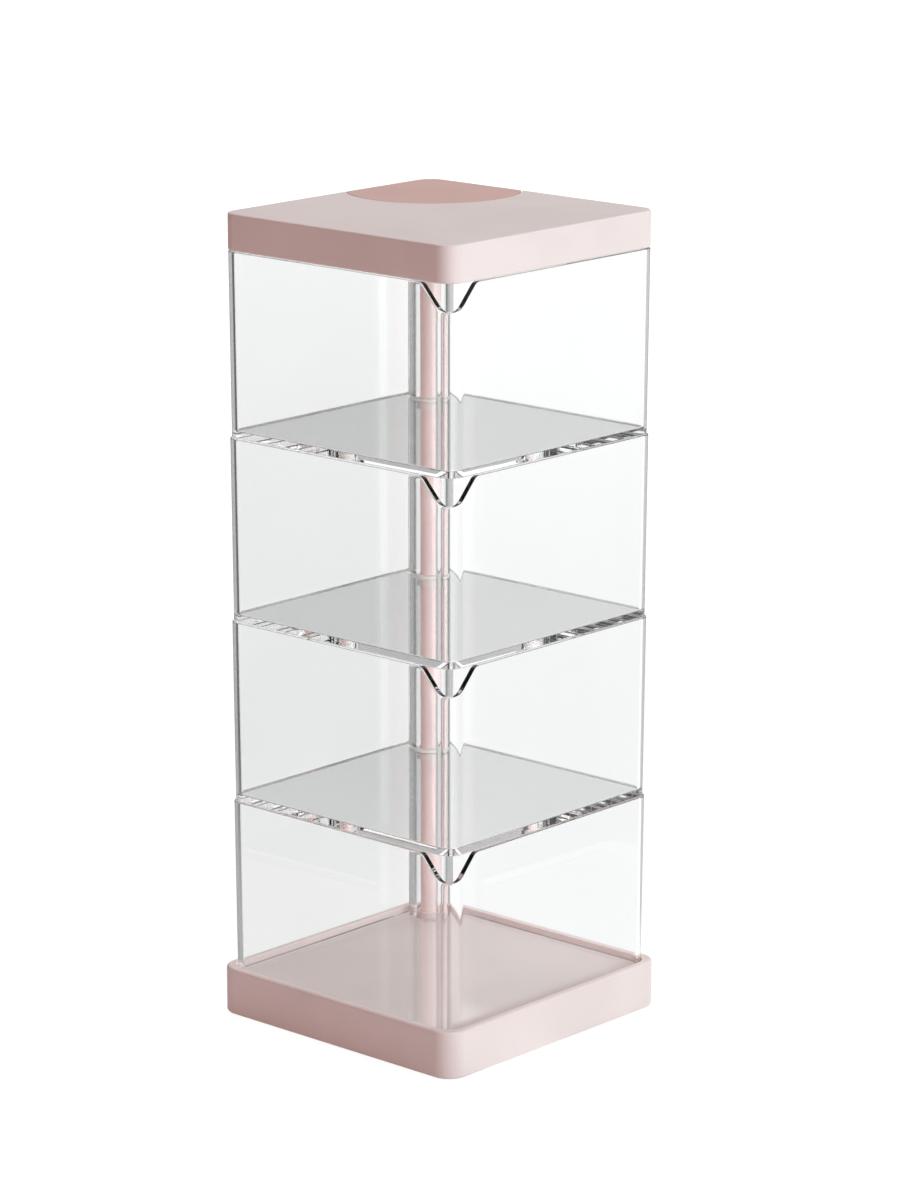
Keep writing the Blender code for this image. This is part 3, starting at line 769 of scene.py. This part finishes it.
class TOWER_OT_base(bpy.types.Operator):
    """Model the base with its recess, rim and collar, and dress its bottom cover"""

    bl_idname = "tower.base"
    bl_label = "Base"

    def execute(self, context):
        """One profile runs from under the base, round its rim and down to the recess's floor."""
        sizes = context.scene.tower_shells
        low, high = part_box("base_shell")
        deck = high.z - sizes.base_recess
        ceiling = deck - sizes.base_floor
        wall, edge, fine = sizes.base_wall, sizes.base_edge, sizes.small_edge
        profile = rounded_profile(
            [
                (wall, ceiling), (wall, low.z), (0, low.z), (0, high.z), (wall, high.z),
                (wall, deck), (wall + edge, deck),
            ],
            (fine, edge, edge, fine, fine),
        )
        inset, level = profile.T
        # From the middle of the rim inwards the corners take the recess's radius
        within = np.arange(len(level)) > np.flatnonzero(level >= high.z - TINY)[0]
        within &= inset > (edge + wall - fine) / 2
        radii = np.where(
            within, sizes.base_recess_corner + wall - inset, sizes.base_corner - inset
        )
        shell = skin(at_levels(square_rings(high.x - inset, radii), level))
        hole, outside, top = sizes.post_hole, sizes.bushing_radius, deck + sizes.collar_height
        collar = rounded_profile(
            [
                (hole, deck - OVERRUN), (outside, deck - OVERRUN), (outside, top), (hole, top),
                (hole, deck - OVERRUN / 2),
            ],
            (0, fine, fine),
        )
        mesh = mesh_of("base", shell, skin(turned_rings(collar, centre=PIVOT), closed=True))
        pink = finishes()["pale_pink_plastic"]
        add_piece("moulded_base", mesh, "base", "pale_pink_plastic", pink, "base_shell")
        dress_node("base_bottom_cover", pink)
        return {"FINISHED"}


class TOWER_OT_feet(bpy.types.Operator):
    """Model the rubber feet under the base"""

    bl_idname = "tower.feet"
    bl_label = "Feet"

    def execute(self, context):
        """Each foot is a disc turned about its own middle, with a round lower edge."""
        edge = context.scene.tower_shells.small_edge
        rubber = finishes()["rubber"]
        for node in FOOT_NODES:
            low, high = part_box(node)
            centre = ((low.x + high.x) / 2, (low.y + high.y) / 2)
            radius = (high.x - low.x) / 2
            profile = rounded_profile(
                [(radius / 4, low.z), (radius, low.z), (radius, high.z), (radius / 4, high.z)],
                (edge, edge / 2),
            )
            mesh = mesh_of(node, skin(turned_rings(profile, centre=centre)))
            add_piece(f"{node}_pad", mesh, "base", "rubber", rubber, node)
        return {"FINISHED"}


class TOWER_OT_post(bpy.types.Operator):
    """Model the post and its bushings, and dress the bolt, washer and nut"""

    bl_idname = "tower.post"
    bl_label = "Post"

    def execute(self, context):
        """The post and each bushing are closed profiles turned about the post's axis."""
        sizes = context.scene.tower_shells
        made = finishes()
        edge = sizes.small_edge
        low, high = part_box("post_tube")
        radius = (high.x - low.x) / 2
        tube = rounded_profile(
            [
                (sizes.post_bore, low.z), (radius, low.z), (radius, high.z),
                (sizes.post_bore, high.z), (sizes.post_bore, low.z + OVERRUN),
            ],
            (edge, edge, edge),
        )
        mesh = mesh_of("post", skin(turned_rings(tube, centre=PIVOT), closed=True))
        add_piece("post", mesh, "base", "pink_post", made["pink_post"], "post_tube")
        for node in BUSHING_NODES:
            low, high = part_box(node)
            flange = (high.x - low.x) / 2
            seat = low.z + sizes.bushing_spigot
            flange_top = high.z - sizes.bushing_nose
            collar = sizes.bushing_radius
            hole = sizes.post_hole
            ring = rounded_profile(
                [
                    (hole, low.z), (collar, low.z), (collar, seat), (flange, seat),
                    (flange, flange_top), (collar, flange_top), (collar, high.z), (hole, high.z),
                    (hole, low.z + OVERRUN),
                ],
                (edge / 2, 0, edge / 2, edge / 2, 0, edge / 2, edge / 2),
                BUSHING_EDGE_STEPS,
            )
            mesh = mesh_of(node, skin(turned_rings(ring, centre=PIVOT), closed=True))
            add_piece(f"{node}_ring", mesh, "base", "nylon", made["nylon"], node)
        for node in STEEL_NODES:
            dress_node(node, made["steel"])
        return {"FINISHED"}


class TOWER_OT_trays(bpy.types.Operator):
    """Model the clear trays, each with its sleeve and finger notch"""

    bl_idname = "tower.trays"
    bl_label = "Clear trays"

    def execute(self, context):
        """The shell is joined with its sleeve and bored for the bushing."""
        sizes = context.scene.tower_trays
        clear = finishes()["clear_plastic"]
        for node, body in zip(TRAY_NODES, TRAY_BODIES):
            low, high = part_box(node)
            shell = mesh_of(node, tray_shell(low.z, high.z, high.x, sizes))
            sleeve = sleeve_block(low.z + sizes.floor / 2, high.z - sizes.sleeve_drop, sizes)
            ends = (low.z - OVERRUN, high.z + OVERRUN)
            bore = skin(turned_rings([(sizes.sleeve_bore, end) for end in ends], centre=PIVOT))
            mesh = cut_and_joined(node, shell, joined=[sleeve], cut=[bore])
            add_piece(f"clear_{node}", mesh, body, "clear_plastic", clear, node)
        return {"FINISHED"}


class TOWER_OT_lid(bpy.types.Operator):
    """Model the lid with its hub and the flush corner cap, and dress the lid's bottom plate"""

    bl_idname = "tower.lid"
    bl_label = "Lid and corner cap"

    def execute(self, context):
        """The hub is a profile that runs round the post's hole, with a well for the nut in it."""
        sizes = context.scene.tower_shells
        made = finishes()
        low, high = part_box("lid_shell")
        hole, hub, well = sizes.post_hole, sizes.hub_radius, sizes.well_radius
        socket = sizes.bushing_radius + sizes.cap_gap
        socket_top = low.z + sizes.bushing_nose
        hub_top = high.z - sizes.cap_depth - OVERRUN / 4
        nut_seat = low.z + sizes.hub_seat
        profile = [
            (hole, socket_top), (socket, socket_top), (socket, low.z), (hub, low.z),
            (hub, hub_top), (well, hub_top), (well, nut_seat), (hole, nut_seat),
        ]
        hub_skin = skin(turned_rings(profile, centre=PIVOT), closed=True)
        mesh = mesh_of("lid", lid_shell(low, high, sizes), hub_skin)
        pink = made["pale_pink_plastic"]
        add_piece("moulded_lid", mesh, "lid", "pale_pink_plastic", pink, "lid_shell")
        dress_node("lid_bottom_plate", pink)
        cap = mesh_of("cap", corner_cap(high.x, high.z, sizes))
        dusty = made["dusty_pink_plastic"]
        add_piece("flush_corner_cap", cap, "lid", "dusty_pink_plastic", dusty, "corner_cap")
        return {"FINISHED"}


# ------ stage


# Lamps: place, size, power and colour, and the point in the tower that all face
LAMPS = {
    "key_lamp": ((1.45, 0.05, 0.58), 1.0, 19.8, (0.85, 0.98, 1.0)),
    "top_lamp": ((-0.1, 0.5, 1.6), 1.0, 13.4, (0.87, 1.0, 1.0)),
    "fill_lamp": ((-0.35, -1.6, 0.45), 1.1, 7.1, (1.0, 0.54, 0.49)),
    "back_lamp": ((-1.3, 1.1, 0.6), 1.1, 10.0, (1.0, 1.0, 1.0)),
}
LAMP_AIM = (0, 0, 0.14)
# Limits on how often light turns, in all and in one way. The light in a clear floor's edge is
# mirrored dozens of times.
ALL_TURNS = 64
LIKE_TURNS = 32

# Strength of the world as a light, and of the room light that clear plastic lets in
WORLD_LIGHT = 0.065
ROOM_LIGHT = 1.5
# Parts of the studio, painted reflections that only mirrored rays see and that light nothing:
# direction, and the cosines to it at which the part begins and is whole
STUDIO_PARTS = {
    "left": ((-0.67, -0.74, 0.0), 0.05, 0.7),
    "right": ((0.67, 0.74, 0.0), 0.4, 0.8),
    "rear": ((-0.67, 0.74, 0.0), 0.6, 0.9),
    # Painted highlight patch at the right front, seen only in reflections, on round pieces
    "painted_highlight_patch": ((0.95, -0.27, 0.1), 0.9, 0.96),
    # Painted highlight overhead, seen only in reflections, as lines on upward edges and rims
    "ceiling": ((0.0, 0.0, 1.0), 0.5, 0.75),
}
# Painted reflections, which light nothing. Tones at the left, right, rear and elsewhere: as an
# outer surface mirrors them, and in the world and in the floor as found deeper in the plastic and
# by guided light
OUTER_TONES = (0.0, 1.1, 0.4, 0.5)
WORLD_TONES = ((0.06, 0.06, 0.36, 0.1), (0.0, 0.75, 0.5, 0.7))
FLOOR_TONES = ((0.06, 0.06, 0.3, 0.1), (0.8, 1.0, 1.0, 0.9))
# Tone of the painted highlight overhead
PAINTED_OVERHEAD_TONE = 1.2
# Tone of the painted highlight patch at the right front
PAINTED_PATCH_TONE = 2.2
THROUGH_TONE = 0.9
# A path has turned, is deep in the plastic or is guided by it where its turns are more than this
TURNED = 0.5
DEEP = 3.5
GUIDED = 2.5

# Floor: half its side, its greys where it shows and where it lights, and ramps over the distance
# from the middle, as (near, far, value near, value far): of its tone and of how dark the left is
FLOOR_HALF = 2.0
SHOWN_GREY = (0.15, 0.15, 0.15, 1)
LIGHTING_GREY = (0.8, 0.8, 0.8, 1)
FLOOR_RAMP = (0.3, 1.2, 0.94, 1.02)
NEARNESS_RAMP = (0.12, 0.4, 0.4, 1.0)

# Camera, fitted to the photograph: direction, distance and aim in metres, and in pixels the focal
# length, the picture's size and the place of its middle across
CAMERA_AZIMUTH = math.radians(42.3035)
CAMERA_ELEVATION = math.radians(14.025)
CAMERA_DISTANCE = 1.45637
CAMERA_AIM = (0, 0, 0.1417)
FOCAL_LENGTH = 4434.6
PICTURE_WIDTH = 900
PICTURE_HEIGHT = 1198
PICTURE_MIDDLE = 439.671
SENSOR_WIDTH = 36.0


class TOWER_OT_stage(bpy.types.Operator):
    """Set up the floor, the lamps, the white surroundings and the camera"""

    bl_idname = "tower.stage"
    bl_label = "Stage"

    def execute(self, context):
        """The lamps light the tower, and the surroundings show behind and in the clear plastic."""
        add_floor()
        for name, values in LAMPS.items():
            add_lamp(name, *values)
        surroundings()
        add_camera(context.scene)
        context.scene.view_settings.view_transform = "Standard"
        light_paths = context.scene.cycles
        light_paths.max_bounces = ALL_TURNS
        light_paths.glossy_bounces = LIKE_TURNS
        light_paths.transmission_bounces = LIKE_TURNS
        light_paths.transparent_max_bounces = LIKE_TURNS
        return {"FINISHED"}


def add_lamp(name, place, size, power, tone):
    """Square soft box that faces the middle of the tower and shows in nothing."""
    light = bpy.data.lights.new(name, "AREA")
    light.shape = "SQUARE"
    light.size = size
    light.energy = power
    light.color = tone
    light.cycles.use_multiple_importance_sampling = False
    lamp = bpy.data.objects.new(name, light)
    lamp.location = place
    aim = Vector(LAMP_AIM) - lamp.location
    lamp.rotation_euler = aim.to_track_quat("-Z", "Y").to_euler()
    lamp.visible_glossy = False
    lamp.visible_transmission = False
    lamp.visible_camera = False
    bpy.context.scene.collection.objects.link(lamp)


def shown_tone(graph, direction, darkening, deep_tones, guided_tones):
    """Brightness that the surroundings show, and whether a ray is one that sees it.

    Rays from the camera find 1, and those that come straight through clear plastic almost that.
    Those that an outer surface mirrored find painted reflections by their direction, which light
    nothing: a dark left, a bright right, a dim rear, a painted highlight overhead and a painted
    highlight patch at the right front. Those that went deeper into the plastic find painted dark
    tones, and those that it guided on through many mirrorings painted bright ones. Rays that carry
    light through it onto the pieces inside find plain room light.
    """
    path = graph.add("ShaderNodeLightPath").outputs
    straight = graph.math("MAXIMUM", path["Is Camera Ray"], path["Is Glossy Ray"])
    seen = graph.math("MAXIMUM", straight, path["Is Transmission Ray"])
    part = {}
    for name, (towards, start, end) in STUDIO_PARTS.items():
        node = graph.add(
            "ShaderNodeVectorMath", {0: direction, 1: towards}, operation="DOT_PRODUCT"
        )
        part[name] = graph.ramp(node.outputs["Value"], start, end)

    def room(share_of_left, at_left, at_right, at_rear, elsewhere):
        """Painted reflection tone by direction, from these tones."""
        tone = graph.blend(share_of_left, elsewhere, at_left)
        return graph.blend(part["rear"], graph.blend(part["right"], tone, at_right), at_rear)

    # Painted reflections: a dark left, a bright right and a dim rear
    studio = room(graph.math("MULTIPLY", part["left"], darkening), *OUTER_TONES)
    # Painted highlight overhead
    studio = graph.blend(part["ceiling"], studio, PAINTED_OVERHEAD_TONE)
    # Painted dark tones for rays deep in the plastic, and painted bright ones for guided light
    deep = graph.math("GREATER_THAN", path["Ray Depth"], DEEP)
    studio = graph.blend(deep, studio, room(part["left"], *deep_tones))
    guided = graph.math("GREATER_THAN", path["Glossy Depth"], GUIDED)
    studio = graph.blend(guided, studio, room(part["left"], *guided_tones))
    # Painted highlight patch at the right front
    studio = graph.blend(part["painted_highlight_patch"], studio, PAINTED_PATCH_TONE)
    through = graph.blend(path["Is Transmission Ray"], 1.0, THROUGH_TONE)
    mirrored = graph.math("GREATER_THAN", path["Glossy Depth"], TURNED)
    lighting = graph.math("GREATER_THAN", path["Diffuse Depth"], TURNED)
    shown = graph.blend(mirrored, through, studio)
    return graph.blend(lighting, shown, ROOM_LIGHT), seen


def surroundings():
    """World that shows white, shows painted reflections, and is plain and weak as a light."""
    world = bpy.data.worlds.new("studio")
    bpy.context.scene.world = world
    world.use_nodes = True
    world.cycles.sampling_method = "NONE"
    graph = Graph(world.node_tree)
    direction = graph.add("ShaderNodeTexCoord").outputs["Generated"]
    tone, seen = shown_tone(graph, direction, 1.0, *WORLD_TONES)
    background = world.node_tree.nodes["Background"]
    shown = graph.math("MULTIPLY", seen, graph.math("SUBTRACT", tone, WORLD_LIGHT))
    graph.link(graph.math("ADD", WORLD_LIGHT, shown), background.inputs["Strength"])
    background.inputs["Color"].default_value = (1, 1, 1, 1)


def add_floor():
    """Pale floor, which shows white where it is seen, with the tower's soft shadow on it."""
    corners = FLOOR_HALF * np.array([(-1, -1, 0), (1, -1, 0), (1, 1, 0), (-1, 1, 0)])
    mesh = bpy.data.meshes.new("floor")
    mesh.from_pydata(corners, [], [[0, 1, 2, 3]])
    material = bpy.data.materials.new("studio_floor")
    material.cycles.emission_sampling = "NONE"
    material.use_nodes = True
    graph = Graph(material.node_tree)
    graph.tree.nodes.remove(graph.tree.nodes["Principled BSDF"])
    place = graph.add("ShaderNodeTexCoord").outputs["Object"]
    away = graph.add("ShaderNodeVectorMath", {0: place}, operation="LENGTH").outputs["Value"]
    direction = graph.add("ShaderNodeVectorMath", {0: place}, operation="NORMALIZE").outputs[0]
    tone, seen = shown_tone(graph, direction, graph.ramp(away, *NEARNESS_RAMP), *FLOOR_TONES)
    level = graph.ramp(away, *FLOOR_RAMP)
    emission = graph.add("ShaderNodeEmission", {"Strength": graph.math("MULTIPLY", tone, level)})
    faint = graph.add("ShaderNodeBsdfDiffuse", {"Color": SHOWN_GREY})
    plain = graph.add("ShaderNodeBsdfDiffuse", {"Color": LIGHTING_GREY})
    lit = graph.add("ShaderNodeAddShader", {0: emission.outputs[0], 1: faint.outputs[0]})
    both = graph.add("ShaderNodeMixShader", {0: seen, 1: plain.outputs[0], 2: lit.outputs[0]})
    graph.link(both.outputs[0], graph.tree.nodes["Material Output"].inputs["Surface"])
    mesh.materials.append(material)
    floor = bpy.data.objects.new("studio_floor", mesh)
    bpy.context.scene.collection.objects.link(floor)


def add_camera(scene):
    """Camera at the photograph's angle, aimed at the tower's upright axis."""
    level, rise = math.cos(CAMERA_ELEVATION), math.sin(CAMERA_ELEVATION)
    back = Vector((math.sin(CAMERA_AZIMUTH) * level, -math.cos(CAMERA_AZIMUTH) * level, rise))
    data = bpy.data.cameras.new("camera")
    data.sensor_width = SENSOR_WIDTH
    data.lens = FOCAL_LENGTH / PICTURE_HEIGHT * data.sensor_width
    data.shift_x = (PICTURE_WIDTH / 2 - PICTURE_MIDDLE) / PICTURE_HEIGHT
    camera = bpy.data.objects.new("camera", data)
    camera.location = Vector(CAMERA_AIM) + back * CAMERA_DISTANCE
    camera.rotation_euler = (-back).to_track_quat("-Z", "Y").to_euler()
    scene.collection.objects.link(camera)
    scene.camera = camera


# ------ add-on


class TOWER_PT_panel(bpy.types.Panel):
    """Settings and steps of the tray tower"""

    bl_idname = "TOWER_PT_panel"
    bl_label = "Tray Tower"
    bl_space_type = "VIEW_3D"
    bl_region_type = "UI"
    bl_category = "Tray Tower"

    def draw(self, context):
        """List each group of settings, then each step."""
        scene = context.scene
        for settings in (scene.tower_trays, scene.tower_shells, scene.tower_look):
            box = self.layout.box()
            for name in settings.__annotations__:
                box.prop(settings, name)
        for step in STEPS:
            self.layout.operator(step.bl_idname)


STEPS = (TOWER_OT_base, TOWER_OT_feet, TOWER_OT_post, TOWER_OT_trays, TOWER_OT_lid, TOWER_OT_stage)
SETTINGS = {
    "tower_trays": TowerTraySettings,
    "tower_shells": TowerShellSettings,
    "tower_look": TowerLookSettings,
}
CLASSES = (*SETTINGS.values(), *STEPS, TOWER_PT_panel)


def register():
    """Register the classes and give each scene its settings."""
    for cls in CLASSES:
        bpy.utils.register_class(cls)
    for name, cls in SETTINGS.items():
        setattr(bpy.types.Scene, name, PointerProperty(type=cls))


def unregister():
    """Take the settings and the classes away again."""
    for name in SETTINGS:
        delattr(bpy.types.Scene, name)
    for cls in reversed(CLASSES):
        bpy.utils.unregister_class(cls)


def main():
    """Run each step in order."""
    register()
    bpy.ops.tower.base()
    bpy.ops.tower.feet()
    bpy.ops.tower.post()
    bpy.ops.tower.trays()
    bpy.ops.tower.lid()
    bpy.ops.tower.stage()


if __name__ == "__main__":
    main()
